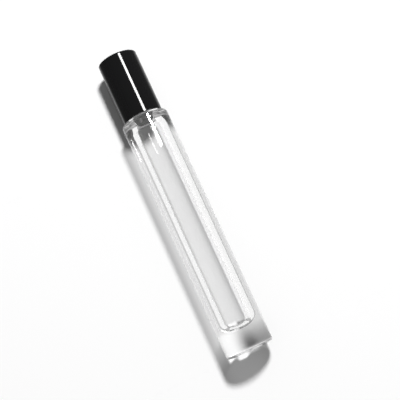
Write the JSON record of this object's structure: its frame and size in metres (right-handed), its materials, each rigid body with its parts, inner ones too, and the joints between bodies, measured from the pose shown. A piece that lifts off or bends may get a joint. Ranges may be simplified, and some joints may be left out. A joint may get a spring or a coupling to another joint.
{
  "type": "roll on bottle",
  "caption": "Tall clear thick-walled glass cylinder with a solid base, a plug-in housing that holds a rolling steel ball, and a narrower black screw cap with a loose sealing disc inside.",
  "frame": {"origin": "centre of the base, in the plane that the bottle stands on", "axes": "+Z along the bottle, from the base to the cap; the bottle is round, so X and Y have no outer feature, and the ball's stated roll axis is X"},
  "size_m": [0.02, 0.02, 0.1328],
  "materials": {
    "glass": "polished",
    "housing": "satin",
    "ball": "polished",
    "pad": "matte",
    "liner": "satin",
    "shell": "gloss"
  },
  "bodies": {
    "bottle": {"glass_bottle": "glass", "roller_housing": "housing"},
    "ball": {"roller_ball": "ball"},
    "seal": {"seal_pad": "pad"},
    "cap": {"cap_liner": "liner", "cap_shell": "shell"}
  },
  "joints": [
    {"name": "ball_roll", "type": "hinge", "parent": "bottle", "child": "ball", "pos_m": [0, 0, 0.12069], "axis": [1, 0, 0], "continuous": true},
    {"name": "cap_rise", "type": "slide", "parent": "bottle", "child": "seal", "axis": [0, 0, 1], "range_m": [0, 0.0254]},
    {"name": "cap_turn", "type": "hinge", "parent": "seal", "child": "cap", "pos_m": [0, 0, 0.1048], "axis": [0, 0, 1], "range_deg": [0, 4320]}
  ],
  "couplings": [
    {"joint": "cap_rise", "follows": "cap_turn", "m_per_rad": 0.00033688}
  ]
}
